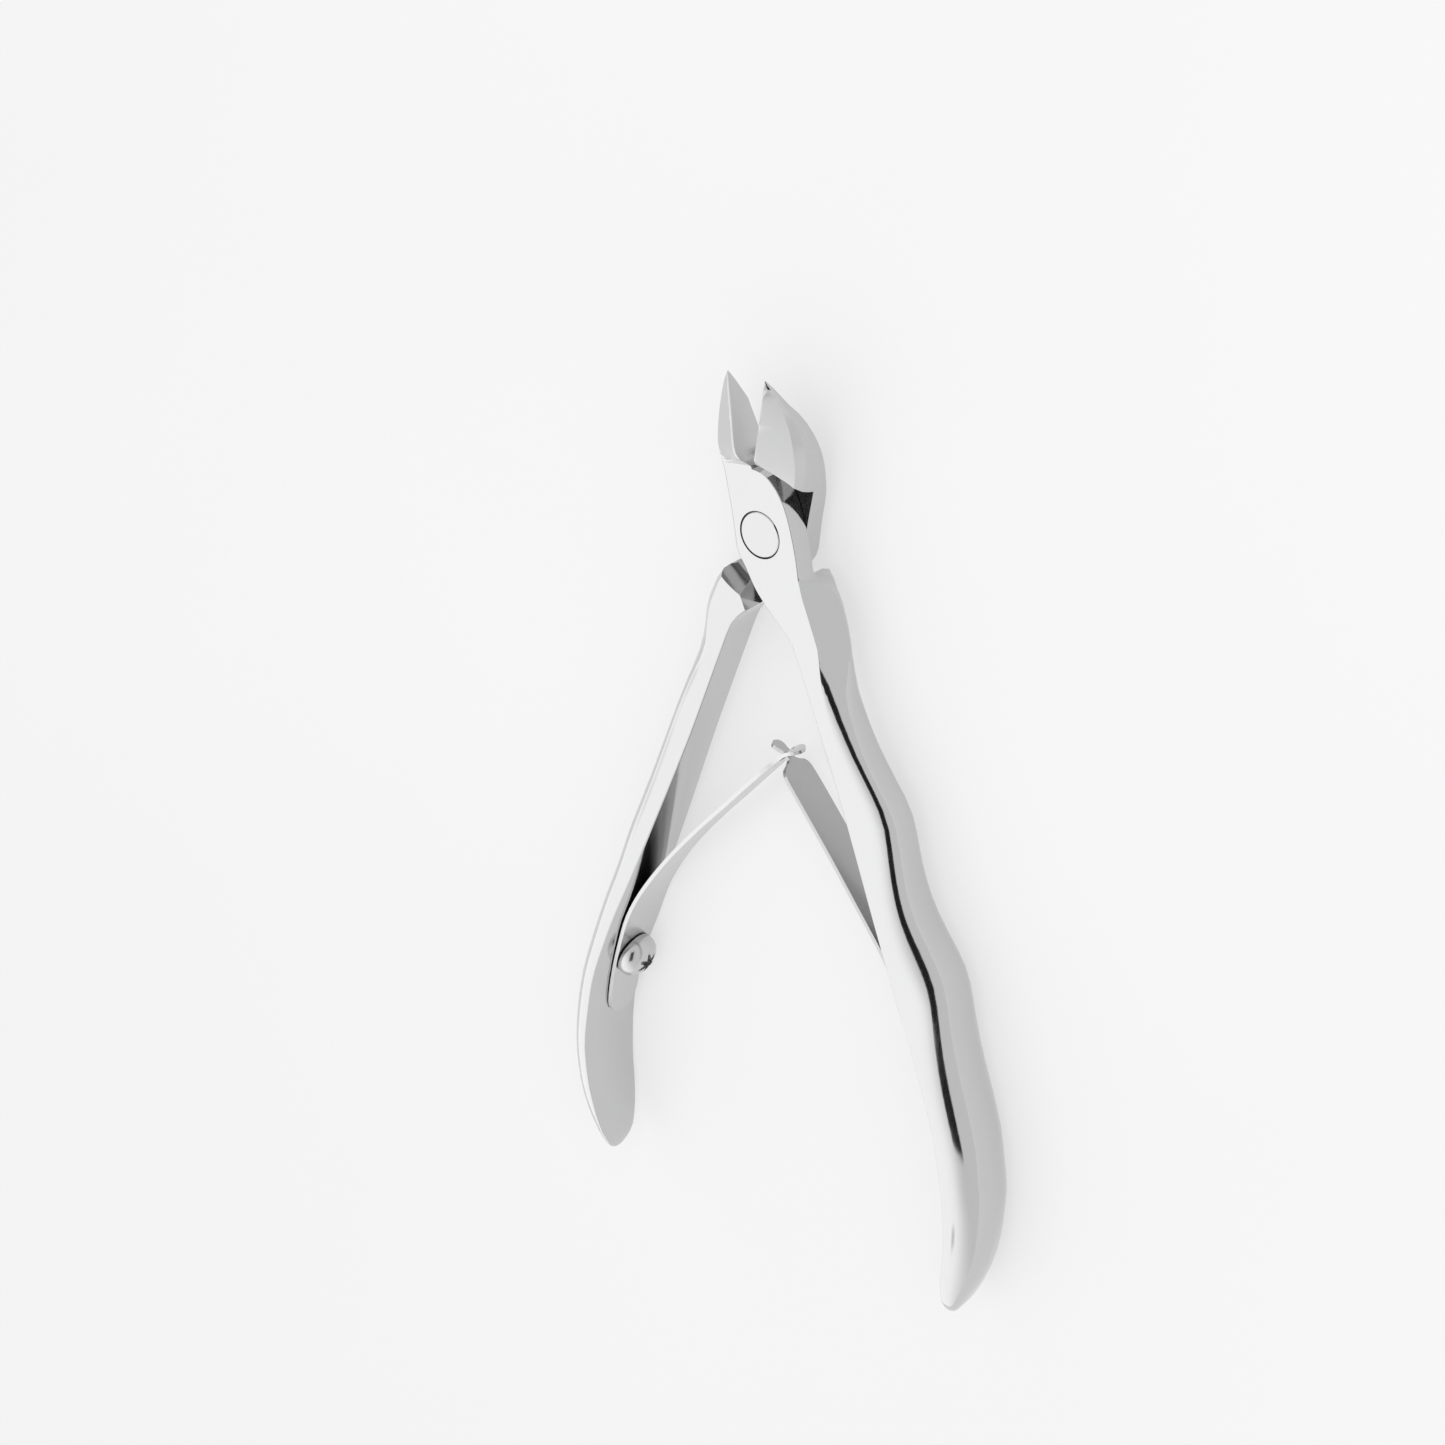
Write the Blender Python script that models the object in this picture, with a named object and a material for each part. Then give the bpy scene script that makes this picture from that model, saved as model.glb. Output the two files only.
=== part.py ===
"""Cuticle nipper: two lapped forgings on a flush rivet, sprung apart by two hooked leaf springs.

World frame in metres. +Z is the pivot axis out of the front face, +Y runs from the pivot to the
jaw tips, and the origin is on the pivot axis in the joint's back face. The working height z below
is counted from the lap plane, and the whole tool is lifted onto its back face at the end.

Each forging is drawn with the jaws shut, then turned by half of the open angle. The front half
holds the jaw on -X, the front cheek and the handle on +X with two finger waves. The back half is
its mirror image with a plain handle.
"""
import math

import bmesh
import bpy
import numpy as np
from mathutils import Matrix, Vector

MM = 0.001

# Joint
HALF_OPEN = math.radians(7.5)      # each half stands this far from shut
LAP_GAP = 0.04                     # each lap face stands back from the lap plane
FACE_Z = 3.0                       # front face of the cheek
BACK_Z = -3.3                      # back face of the cheek
LAP_R = 8.9                        # milled recess that clears the other cheek
LAP_STEPS = 40
LAP_OUT = 12.5                     # half width of the milling cuts
CUT_FAR = 12.0                     # how far a cutter reaches past the metal
HEEL_STEPS = 96
# Turned recess in the back half's jaw root, as (radius, height)
HEEL = [(8.75, -LAP_GAP), (9.0, 1.0), (9.6, 2.8), (10.1, 4.5), (10.6, 5.4), (11.4, 5.95),
        (11.8, 6.6)]

# Rivet
HEAD_R = 2.97
HEAD_SEAT_R = 3.14
HEAD_SEAT_Z = 1.70
SHANK_R = 2.00
SHANK_HOLE_R = 2.06
TAIL_R = 2.70
TAIL_SEAT_R = 2.78
TAIL_SEAT_Z = -2.55
BORE_TOP = 4.2
BORE_MIDDLE = 1.5
BORE_BOTTOM = -4.5
RIVET_PLAY = 0.06
RIVET_EDGE = 0.1
ROUND_STEPS = 48
SHARP_ANGLE = math.radians(35)

# Springs and their screws
LEAF_T = 0.5
SCREW_Z = -1.1                     # height of the screws from the lap plane
TIP_Z = -0.7                       # height of the hooked tips from the lap plane
SCREW_Y = -72.1                    # height of the screw on the open handle
SCREW_R = 1.45
SCREW_HOLE_R = 1.50
LEAF_HOLE_R = 1.60
SCREW_HEAD_R = 3.2
SCREW_HEAD_H = 2.9
SCREW_RIM_H = 0.7
SCREW_LIFT = 0.16                  # underside of the head above the curved leaf
DOME_STEPS = 8
SCREW_DEPTH = 2.6
SCREW_EDGE = 0.12
SCREW_POINT = 0.3
HOLE_DEPTH = 4.2
HOLE_ABOVE = 0.3
HOLE_STEPS = 32
LEAF_CUT = 1.5
RECESS_STEPS = 36
RECESS_LOBES = 6
RECESS_ABOVE = 0.5
RECESS_R = 1.75
RECESS_LOBE = 0.5
RECESS_DEPTH = 0.9
SLOT_W = 1.95
SLOT_L = 2.7
SLOT_AT = 2.95                     # slot centre, measured back from the end of the leaf
SLOT_CUT = 2.2
SLOT_STEPS = 24
SLOT_POWER = 0.6                   # squareness of the slot's round ends
NECK_W = 1.3
TONGUE_W = 1.75

# Ring layout of the forging sections
CORNER_STEPS = 6
SIDE_STEPS = 5
FLAT_STEPS = 2
CROWN_STEPS = 6
MAX_FILL = 0.96                    # share of a side that its two corners may take

# Section keys: (y, value) in millimetres, jaws shut, jaw tip to handle end.
JAW_SIDE = [(21.6, 0.12), (21.2, 0.45), (20.6, 0.95), (19.7, 1.65), (17.9, 2.8), (16.0, 3.85),
            (14.5, 4.45), (12.7, 4.95), (11.3, 5.2), (9.5, 5.3), (7.0, 5.15), (5.0, 5.0),
            (3.0, 4.85), (0.0, 4.75), (-2.0, 4.75), (-3.4, 4.4), (-4.6, 3.75), (-6.0, 2.95),
            (-8.8, 1.08), (-11.0, -0.85), (-12.6, -2.2), (-14.2, -3.1), (-17.5, -4.0),
            (-24.6, -5.77), (-35.7, -8.54), (-46.8, -11.39), (-57.8, -14.3), (-69.0, -17.35),
            (-80.0, -19.35), (-88.0, -19.65), (-95.0, -18.9), (-101.0, -17.4), (-104.5, -16.5),
            (-107.0, -15.95), (-108.6, -16.05)]
LAP_SIDE = [(21.6, -0.04), (8.5, -0.04), (8.42, 0.45), (8.3, 0.95), (8.15, 1.4), (7.95, 1.8),
            (7.7, 2.15), (7.3, 2.6), (6.8, 3.0), (6.2, 3.45), (5.4, 3.9), (4.2, 4.4),
            (2.8, 4.75), (0.5, 5.1), (-1.6, 5.3), (-3.7, 5.4)]
WAVY_SIDE = [(-4.8, 5.4), (-5.4, 5.8), (-6.0, 6.8), (-6.8, 7.8), (-8.0, 8.5), (-10.0, 9.1),
             (-12.0, 9.45), (-14.0, 9.6), (-17.0, 9.5), (-20.0, 9.5), (-22.1, 9.8),
             (-25.0, 10.55), (-27.4, 11.35), (-30.0, 12.5), (-32.5, 13.8), (-35.0, 15.1),
             (-37.0, 15.8), (-39.0, 16.1), (-43.1, 16.45), (-46.0, 16.85), (-48.6, 17.45),
             (-51.2, 18.4), (-53.9, 19.7), (-56.5, 21.0), (-58.6, 21.75), (-60.5, 22.05),
             (-64.9, 22.35), (-70.6, 23.05), (-76.3, 24.0), (-82.1, 24.7), (-88.2, 24.7),
             (-94.4, 23.8), (-101.0, 21.7), (-105.0, 19.5), (-107.4, 17.7), (-108.6, 16.6)]
PLAIN_SIDE = [(-5.5, 5.15), (-6.5, 5.25), (-7.5, 5.8), (-8.7, 6.6), (-10.5, 7.5), (-13.0, 8.4),
              (-15.0, 8.75), (-18.0, 8.8), (-21.0, 9.1), (-25.2, 10.2), (-30.4, 11.6),
              (-41.1, 14.3), (-46.5, 15.75), (-52.0, 17.25), (-58.4, 18.7), (-66.3, 20.75),
              (-74.5, 22.45), (-80.0, 23.3), (-85.0, 23.6), (-90.4, 23.45), (-95.6, 22.75),
              (-99.4, 21.7), (-102.6, 20.2), (-105.3, 18.7), (-107.5, 17.3), (-108.6, 16.6)]
HANDLE_Z = [(-14.0, 3.0), (-31.0, 3.05), (-40.0, 3.45), (-49.0, 4.0), (-66.5, 4.9),
            (-78.0, 5.25), (-88.0, 5.25), (-96.0, 4.85), (-101.0, 4.35), (-104.5, 3.6),
            (-107.0, 2.5), (-108.2, 1.5), (-108.6, 0.8)]
TOP_FRONT = [(21.6, 5.26), (20.0, 5.4), (16.0, 5.6), (12.5, 5.8), (11.5, 5.7), (10.6, 5.2),
             (9.8, 4.3), (9.2, 3.45), (8.8, 3.05), (8.4, FACE_Z), (-10.0, FACE_Z)]
TOP_BACK = [(21.6, 5.26), (20.0, 5.4), (16.0, 5.6), (12.5, 5.8), (11.0, 5.85), (6.9, 5.85),
            (5.5, 4.0), (4.5, FACE_Z), (-10.0, FACE_Z)]
BOTTOM = [(21.6, 5.1), (21.2, 4.75), (20.6, 4.25), (19.7, 3.6), (18.6, 2.75), (17.2, 1.4),
          (15.0, 0.0), (12.7, -1.1), (10.5, -1.9), (9.0, -2.4), (7.0, -3.0), (5.5, -3.25),
          (4.0, BACK_Z), (-4.0, BACK_Z), (-8.0, -3.15)]
HOLLOW = [(21.6, 0.0), (19.0, 0.06), (15.0, 0.2), (11.5, 0.3), (10.0, 0.25), (9.0, 0.1),
          (8.5, 0.0), (-108.6, 0.0)]
# Drop of the jaw's sloping facet from its inner edge to its outer edge
FALL_FRONT = [(21.6, 0.03), (20.6, 0.4), (19.7, 0.78), (17.9, 1.33), (16.0, 1.72), (14.5, 1.95),
              (12.7, 2.17), (11.5, 2.22), (10.9, 2.05), (10.4, 1.7), (9.8, 1.15), (9.2, 0.4),
              (8.8, 0.04), (8.4, 0.0), (-108.6, 0.0)]
FALL_BACK = [(21.6, 0.03), (20.6, 0.4), (19.7, 0.78), (17.9, 1.33), (16.0, 1.72), (14.5, 1.95),
             (12.7, 2.17), (11.0, 2.3), (6.9, 2.3), (5.5, 0.8), (4.5, 0.0), (-108.6, 0.0)]
CROWN = [(21.6, 0.0), (-22.0, 0.0), (-40.0, 0.2), (-60.0, 0.5), (-75.0, 0.58), (-90.0, 0.55),
         (-102.0, 0.35), (-108.6, 0.03)]

# Corner keys: (y, along x, along z, exponent)
OUTER_TOP_JAW = [(21.6, 0.04, 0.04, 1.0), (20.6, 0.08, 0.2, 1.0), (19.7, 0.14, 0.35, 1.0),
                 (17.9, 0.3, 0.65, 1.0), (16.0, 0.5, 1.0, 1.0), (14.5, 0.62, 1.25, 1.0),
                 (12.7, 0.65, 1.4, 1.0), (11.3, 0.6, 1.4, 1.0)]
OUTER_TOP_ARM = [(-4.0, 1.2, 1.4, 2.0), (-8.0, 0.45, 0.45, 2.0), (-12.0, 0.25, 0.25, 2.0),
                 (-107.0, 0.25, 0.25, 2.0), (-108.6, 0.15, 0.3, 2.0)]
OUTER_TOP_FRONT = OUTER_TOP_JAW + [(10.4, 0.6, 1.3, 1.1), (9.5, 0.7, 1.2, 1.6),
                                   (8.8, 1.0, 1.2, 2.0), (8.0, 1.2, 1.4, 2.0)] + OUTER_TOP_ARM
OUTER_TOP_BACK = OUTER_TOP_JAW + [(9.0, 0.5, 1.3, 1.0), (6.9, 0.4, 1.1, 1.0),
                                  (4.5, 0.8, 1.0, 1.6), (2.0, 1.2, 1.4, 2.0)] + OUTER_TOP_ARM
OUTER_BOTTOM = [(21.6, 0.05, 0.04, 2.0), (19.7, 0.35, 0.3, 2.0), (17.0, 0.7, 0.6, 2.0),
                (9.0, 0.8, 0.7, 2.0), (4.0, 0.4, 0.4, 2.0), (-12.0, 0.25, 0.25, 2.0),
                (-107.0, 0.25, 0.25, 2.0), (-108.6, 0.15, 0.3, 2.0)]
INNER_BOTTOM = [(21.6, 0.03, 0.03, 1.3), (19.7, 0.3, 0.1, 1.3), (18.6, 0.6, 0.2, 1.3),
                (16.0, 2.4, 1.15, 1.3), (13.1, 3.4, 1.7, 1.3), (11.0, 3.8, 1.9, 1.3),
                (10.0, 3.4, 1.5, 1.3), (9.0, 1.8, 0.8, 1.5), (8.5, 0.5, 0.3, 2.0),
                (7.5, 0.25, 0.25, 2.0), (-4.8, 0.25, 0.25, 2.0)]
INNER_TOP = [(21.6, 0.03, 0.02, 1.0), (20.6, 0.12, 0.04, 1.0), (19.0, 0.22, 0.08, 1.0),
             (11.0, 0.25, 0.09, 1.0), (9.0, 0.12, 0.06, 1.2), (8.5, 0.04, 0.04, 2.0),
             (8.0, 0.15, 0.12, 2.0), (-4.8, 0.2, 0.15, 2.0)]
GRIP_END = [(-90.0, 3.9, 4.9, 2.1), (-101.0, 3.6, 4.2, 2.1), (-105.0, 2.5, 3.2, 2.0),
            (-108.6, 0.3, 0.45, 2.0)]
GRIP_LOW = [(-25.0, 2.7, 2.2, 2.0), (-31.0, 2.9, 2.1, 2.2), (-45.0, 3.3, 2.9, 2.2),
            (-60.0, 3.8, 3.9, 2.2), (-75.0, 4.2, 4.8, 2.1)] + GRIP_END
# Both bottom corners of the handles
GRIP = [(-6.0, 1.6, 1.8, 1.3), (-7.6, 2.7, 2.4, 1.2), (-14.0, 2.5, 2.4, 1.2),
        (-18.0, 2.4, 2.3, 1.4)] + GRIP_LOW
# Front corner of the plain handle, from its shoulder down
GRIP_PLAIN = [(-6.0, 0.5, 0.7, 1.2), (-7.1, 0.7, 0.9, 1.2), (-8.2, 0.95, 1.2, 1.2),
              (-9.6, 1.2, 1.5, 1.2), (-11.2, 1.5, 1.9, 1.2), (-13.0, 1.65, 2.1, 1.2),
              (-14.3, 1.85, 2.4, 1.25), (-16.5, 2.1, 2.6, 1.3), (-20.0, 2.4, 2.5, 1.6)] + GRIP_LOW
# Front corner of the waved handle: crisp from the cheek to the first wave, then rounded
GRIP_WAVED = [(-5.4, 0.45, 0.6, 1.0), (-6.0, 1.35, 1.8, 1.0), (-6.8, 2.25, 2.9, 1.0),
              (-8.0, 2.75, 3.4, 1.0), (-10.0, 2.85, 3.4, 1.0), (-12.0, 2.7, 3.4, 1.0),
              (-14.0, 2.4, 3.4, 1.0), (-16.0, 2.3, 3.3, 1.1), (-18.0, 2.3, 3.2, 1.25),
              (-21.0, 2.4, 2.9, 1.6), (-25.0, 2.7, 2.5, 1.9), (-30.0, 3.1, 2.2, 2.1),
              (-34.0, 3.4, 2.4, 2.2), (-39.0, 3.4, 2.7, 2.2), (-44.0, 3.6, 2.9, 2.2),
              (-49.0, 4.0, 3.2, 2.2), (-53.0, 4.8, 3.6, 2.1), (-56.0, 4.8, 3.8, 2.1),
              (-60.0, 4.1, 3.9, 2.2), (-75.0, 4.5, 4.8, 2.1)] + GRIP_END

STATIONS = [21.6, 21.2, 20.6, 19.7, 18.6, 17.3, 16.0, 14.6, 13.3, 12.3, 11.5, 10.9, 10.4, 9.9,
            9.4, 9.0, 8.7, 8.5, 8.42, 8.3, 8.15, 7.95, 7.7, 7.3, 6.8, 6.2, 5.4, 4.2, 2.8, 1.2,
            -0.4, -2.0, -3.2, -4.2, -4.8, -5.1, -5.4, -5.7, -6.0, -6.4, -6.8, -7.4, -8.0,
            -9.3, -10.8, -12.4, -14.0, -16.0, -18.5]
GRIP_FROM = -21.0
GRIP_TO = -101.5
GRIP_PITCH = 2.3                   # station spacing along the handle
END_STATIONS = [-103.3, -104.9, -106.2, -107.2, -107.9, -108.35, -108.6]

# Shoulder where each handle steps up to full thickness, jaws shut
STEP_FRONT = [(-1.5, -15.6), (3.6, -6.25), (4.1, -5.95), (6.2, -5.75), (LAP_OUT, -5.4)]
STEP_BACK = [(-1.5, -15.6), (3.45, -7.1), (LAP_OUT, -7.0)]

# Each leaf lies on its handle's inner face between these heights, jaws shut
SEAT_YS = [-85.6, -84.0, -81.0, -78.0, -75.0, -72.0, -69.5]
SEAT_GAP = 0.05
# Free arms on the open tool, from the handle to the hooked tip
ARM_RIGHT = [(24.5, -64.0), (23.15, -61.0), (20.9, -56.9), (17.7, -52.4), (13.75, -47.3),
             (9.95, -42.3), (7.1, -38.7), (3.9, -34.75), (2.3, -32.75), (1.3, -31.55),
             (0.2, -30.95), (-1.15, -30.5)]
ARM_LEFT = [(-24.5, -64.0), (-23.2, -61.2), (-20.8, -57.2), (-17.3, -52.3), (-14.2, -48.5),
            (-10.8, -44.6), (-7.4, -40.9), (-4.1, -37.2), (-1.5, -34.35), (0.7, -31.9),
            (1.9, -30.85), (3.0, -30.4), (3.75, -30.25)]
FLEX_ROOT = (24.6, -63.9)          # where the free arm starts to bend, on the open tool

# Leaf widths: (distance from the seated end, or back from the tip, width)
BLADE = [(0, 0.7), (0.15, 2.4), (0.5, 3.8), (1.2, 4.9), (2.2, 5.5), (3.4, 5.8), (8.0, 6.2),
         (12.0, 6.9), (18.0, 7.8), (24.6, 7.0), (32.6, 5.8), (40.6, 5.4)]
TONGUE = BLADE + [(-7.0, 5.3), (-5.2, 5.1), (-4.5, 4.5), (-4.1, 3.7), (-3.8, 2.3),
                  (-3.5, NECK_W), (-1.9, NECK_W), (-1.4, 1.55), (-0.9, TONGUE_W),
                  (-0.4, 1.5), (-0.12, 0.95), (-0.01, 0.4)]
LEAF_MID = [(0, SCREW_Z), (14.6, SCREW_Z), (40.6, TIP_Z), (90.0, TIP_Z)]
EYE = BLADE + [(-7.4, 5.4), (-5.6, 4.6), (-4.2, 3.6), (-3.0, 3.2), (-1.4, 3.1), (-0.7, 2.6),
               (-0.25, 1.8), (-0.01, 0.8)]

# Spacing of the rings along a leaf: close at both ends, LEAF_PITCH between
LEAF_PITCH = 1.6
ROOT_RINGS = [0.0, 0.12, 0.4, 0.9, 1.6, 2.5, 3.6]
TIP_RINGS = [6.6, 6.2, 5.8, 5.4, 5.0, 4.6, 4.2, 3.8, 3.4, 3.0, 2.6, 2.2, 1.8, 1.4, 1.0, 0.6,
             0.3, 0.12, 0.0]
PITCH_FROM = 5.0
PITCH_TO = 7.0                     # measured back from the tip
LEAF_EDGE = 0.08


def clear_scene():
    for obj in list(bpy.data.objects):
        bpy.data.objects.remove(obj, do_unlink=True)


def curve_through(keys, column=1):
    """Shape-preserving cubic through (y, value...) keys."""
    data = sorted((k[0], k[column]) for k in keys)
    xs = np.array([d[0] for d in data])
    ys = np.array([d[1] for d in data])
    h = np.diff(xs)
    slope = np.diff(ys) / h
    m = np.zeros(len(xs))
    m[0] = slope[0]
    m[-1] = slope[-1]
    for i in range(1, len(xs) - 1):
        if slope[i - 1] * slope[i] > 0:
            w1 = 2 * h[i] + h[i - 1]
            w2 = h[i] + 2 * h[i - 1]
            m[i] = (w1 + w2) / (w1 / slope[i - 1] + w2 / slope[i])

    def value(x):
        x = min(max(x, xs[0]), xs[-1])
        i = int(min(max(np.searchsorted(xs, x) - 1, 0), len(xs) - 2))
        t = (x - xs[i]) / h[i]
        a = (1 + 2 * t) * (1 - t) ** 2
        b = t * (1 - t) ** 2
        c = t * t * (3 - 2 * t)
        d = t * t * (t - 1)
        return float(a * ys[i] + b * h[i] * m[i] + c * ys[i + 1] + d * h[i] * m[i + 1])

    return value


def corner_curves(keys):
    return [curve_through(keys, c) for c in (1, 2, 3)]


def half_curves(side_keys, top_keys, fall_keys, outer_top, grip_top):
    return {
        "left": curve_through(JAW_SIDE),
        "right": curve_through(LAP_SIDE + side_keys),
        "top": curve_through(top_keys + HANDLE_Z),
        "bottom": curve_through(BOTTOM + [(y, -z) for y, z in HANDLE_Z]),
        "fall": curve_through(fall_keys),
        "hollow": curve_through(HOLLOW),
        "crown": curve_through(CROWN),
        "tl": corner_curves(outer_top),
        "bl": corner_curves(OUTER_BOTTOM),
        "tr": corner_curves(INNER_TOP + grip_top),
        "br": corner_curves(INNER_BOTTOM + GRIP),
    }


def corner(cx, cz, rx, rz, power, start):
    """Quarter of a superellipse; start is the quadrant, 0 = top right, then clockwise."""
    pts = []
    signs = [(1, 1), (1, -1), (-1, -1), (-1, 1)][start]
    for i in range(CORNER_STEPS + 1):
        a = 0.5 * math.pi * i / CORNER_STEPS
        if start % 2:
            a = 0.5 * math.pi - a
        u = math.sin(a) ** (2.0 / power)
        v = math.cos(a) ** (2.0 / power)
        pts.append((cx + signs[0] * rx * u, cz + signs[1] * rz * v))
    return pts


def between(p, q, steps, bow=0.0):
    """Points strictly between p and q; bow moves them to -x."""
    pts = []
    for i in range(1, steps):
        t = i / steps
        x = p[0] + (q[0] - p[0]) * t - bow * 4 * t * (1 - t)
        pts.append((x, p[1] + (q[1] - p[1]) * t))
    return pts


def section(c, y):
    """Closed ring of (x, z) points for one station of a forging."""
    xl = -c["left"](y)
    xr = c["right"](y)
    zt = c["top"](y)
    zb = c["bottom"](y)
    fall = c["fall"](y)
    width = xr - xl
    height = zt - zb
    fits = {}
    for key in ("tl", "bl", "tr", "br"):
        rx, rz, power = (f(y) for f in c[key])
        fits[key] = [rx, rz, power]
    for a, b in (("tl", "tr"), ("bl", "br")):
        over = (fits[a][0] + fits[b][0]) / (MAX_FILL * width)
        if over > 1:
            fits[a][0] /= over
            fits[b][0] /= over
    for a, b, room in (("tl", "bl", height - fall), ("tr", "br", height)):
        over = (fits[a][1] + fits[b][1]) / (MAX_FILL * room)
        if over > 1:
            fits[a][1] /= over
            fits[b][1] /= over
    tr = corner(xr - fits["tr"][0], zt - fits["tr"][1], *fits["tr"], 0)
    br = corner(xr - fits["br"][0], zb + fits["br"][1], *fits["br"], 1)
    bl = corner(xl + fits["bl"][0], zb + fits["bl"][1], *fits["bl"], 2)
    tl = corner(xl + fits["tl"][0], zt - fall - fits["tl"][1], *fits["tl"], 3)
    ring = list(tr)
    ring += between(tr[-1], br[0], SIDE_STEPS, c["hollow"](y))
    ring += br
    ring += between(br[-1], bl[0], FLAT_STEPS)
    ring += bl
    ring += between(bl[-1], tl[0], CROWN_STEPS, c["crown"](y))
    ring += tl
    ring += between(tl[-1], tr[0], FLAT_STEPS)
    return ring


def mesh_object(name, bm, material=None):
    bmesh.ops.recalc_face_normals(bm, faces=bm.faces)
    mesh = bpy.data.meshes.new(name)
    bm.to_mesh(mesh)
    bm.free()
    obj = bpy.data.objects.new(name, mesh)
    bpy.context.scene.collection.objects.link(obj)
    if material:
        mesh.materials.append(material)
    return obj


def loft(rings):
    """Closed body through equal-length rings of 3-D points."""
    bm = bmesh.new()
    rows = [[bm.verts.new(p) for p in ring] for ring in rings]
    n = len(rows[0])
    for a, b in zip(rows, rows[1:]):
        for i in range(n):
            j = (i + 1) % n
            bm.faces.new((a[i], a[j], b[j], b[i]))
    for ring in (rows[0], rows[-1]):
        centre = Vector((0, 0, 0))
        for v in ring:
            centre += v.co / n
        hub = bm.verts.new(centre)
        for i in range(n):
            bm.faces.new((ring[i], ring[(i + 1) % n], hub))
    bmesh.ops.triangulate(bm, faces=bm.faces)
    return bm


def place(points, side):
    """Turn jaws-shut points in millimetres to the open pose; side -1 mirrors to the back half."""
    turn = Matrix.Rotation(side * HALF_OPEN, 3, "Z")
    return [turn @ (Vector((side * x, y, z)) * MM) for x, y, z in points]


def stations():
    ys = list(STATIONS)
    y = GRIP_FROM
    while y > GRIP_TO:
        ys.append(y)
        y -= GRIP_PITCH
    return ys + END_STATIONS


def prism(name, outline, z0, z1, side):
    """Hidden cutting prism over a jaws-shut outline."""
    bm = bmesh.new()
    low = [bm.verts.new(p) for p in place([(x, y, z0) for x, y in outline], side)]
    top = [bm.verts.new(p) for p in place([(x, y, z1) for x, y in outline], side)]
    n = len(low)
    for i in range(n):
        j = (i + 1) % n
        bm.faces.new((low[i], low[j], top[j], top[i]))
    bm.faces.new(list(reversed(low)))
    bm.faces.new(top)
    return as_cutter(mesh_object(name, bm))


def as_cutter(obj):
    obj.hide_render = True
    obj.display_type = "WIRE"
    return obj


def revolve(profile, steps=ROUND_STEPS):
    """Closed solid of revolution about +Z; the profile runs axis to axis as (r, z)."""
    bm = bmesh.new()
    rows = []
    for r, z in profile:
        if r < 1e-6:
            rows.append([bm.verts.new((0, 0, z * MM))])
            continue
        row = []
        for i in range(steps):
            a = 2 * math.pi * i / steps
            row.append(bm.verts.new((r * MM * math.cos(a), r * MM * math.sin(a), z * MM)))
        rows.append(row)
    for a, b in zip(rows, rows[1:]):
        for i in range(steps):
            j = (i + 1) % steps
            if len(a) == 1:
                bm.faces.new((a[0], b[i], b[j]))
            elif len(b) == 1:
                bm.faces.new((a[i], a[j], b[0]))
            else:
                bm.faces.new((a[i], a[j], b[j], b[i]))
    return bm


def cut(obj, cutter):
    mod = obj.modifiers.new("cut_" + cutter.name, "BOOLEAN")
    mod.operation = "DIFFERENCE"
    mod.solver = "EXACT"
    mod.object = cutter


def steel(name, color, roughness):
    mat = bpy.data.materials.new(name)
    mat.use_nodes = True
    bsdf = mat.node_tree.nodes["Principled BSDF"]
    bsdf.inputs["Base Color"].default_value = (*color, 1)
    bsdf.inputs["Metallic"].default_value = 1.0
    bsdf.inputs["Roughness"].default_value = roughness
    mat.diffuse_color = (*color, 1)
    return mat


def forging(name, side, curves, material):
    rings = []
    for y in stations():
        rings.append(place([(x, y, z) for x, z in section(curves, y)], side))
    return mesh_object(name, loft(rings), material)


def lap_outline_front():
    pts = list(STEP_FRONT)
    pts.append((LAP_OUT, 1.0))
    first = math.asin(1.0 / LAP_R)
    for i in range(LAP_STEPS + 1):
        a = first + (math.pi - 2 * first) * i / LAP_STEPS
        pts.append((LAP_R * math.cos(a), LAP_R * math.sin(a)))
    pts += [(-LAP_OUT, 1.0), (-LAP_OUT, STEP_FRONT[0][1])]
    return pts


def lap_outline_back():
    return STEP_BACK + [(LAP_OUT, 2.0), (-LAP_OUT, 2.0), (-LAP_OUT, STEP_BACK[0][1])]


def heel_recess():
    """Turned recess in the back half's jaw root: steep wall, then the flared jaw heel."""
    profile = [(0, HEEL[0][1])] + HEEL + [(0, HEEL[-1][1])]
    return as_cutter(mesh_object("heel_recess", revolve(profile, HEEL_STEPS)))


def pivot_holes():
    front = [(0, BORE_TOP), (HEAD_SEAT_R, BORE_TOP), (HEAD_SEAT_R, HEAD_SEAT_Z),
             (SHANK_HOLE_R, HEAD_SEAT_Z), (SHANK_HOLE_R, -BORE_MIDDLE), (0, -BORE_MIDDLE)]
    back = [(0, BORE_MIDDLE), (SHANK_HOLE_R, BORE_MIDDLE),
            (SHANK_HOLE_R, TAIL_SEAT_Z + RIVET_EDGE), (TAIL_SEAT_R, TAIL_SEAT_Z),
            (TAIL_SEAT_R, BORE_BOTTOM), (0, BORE_BOTTOM)]
    return (as_cutter(mesh_object("front_bore", revolve(front))),
            as_cutter(mesh_object("back_bore", revolve(back))))


def rivet(material):
    under = HEAD_SEAT_Z + RIVET_PLAY
    flare = TAIL_SEAT_Z - RIVET_PLAY
    profile = [(0, FACE_Z), (HEAD_R - RIVET_EDGE, FACE_Z), (HEAD_R, FACE_Z - RIVET_EDGE),
               (HEAD_R, under), (SHANK_R, under), (SHANK_R, flare),
               (TAIL_R, flare - RIVET_EDGE), (TAIL_R, BACK_Z + RIVET_EDGE),
               (TAIL_R - RIVET_EDGE, BACK_Z), (0, BACK_Z)]
    obj = mesh_object("pivot_rivet", revolve(profile), material)
    smooth(obj)
    return obj


def smooth(obj):
    obj.data.shade_smooth()
    obj.data.set_sharp_from_angle(angle=SHARP_ANGLE)


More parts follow.
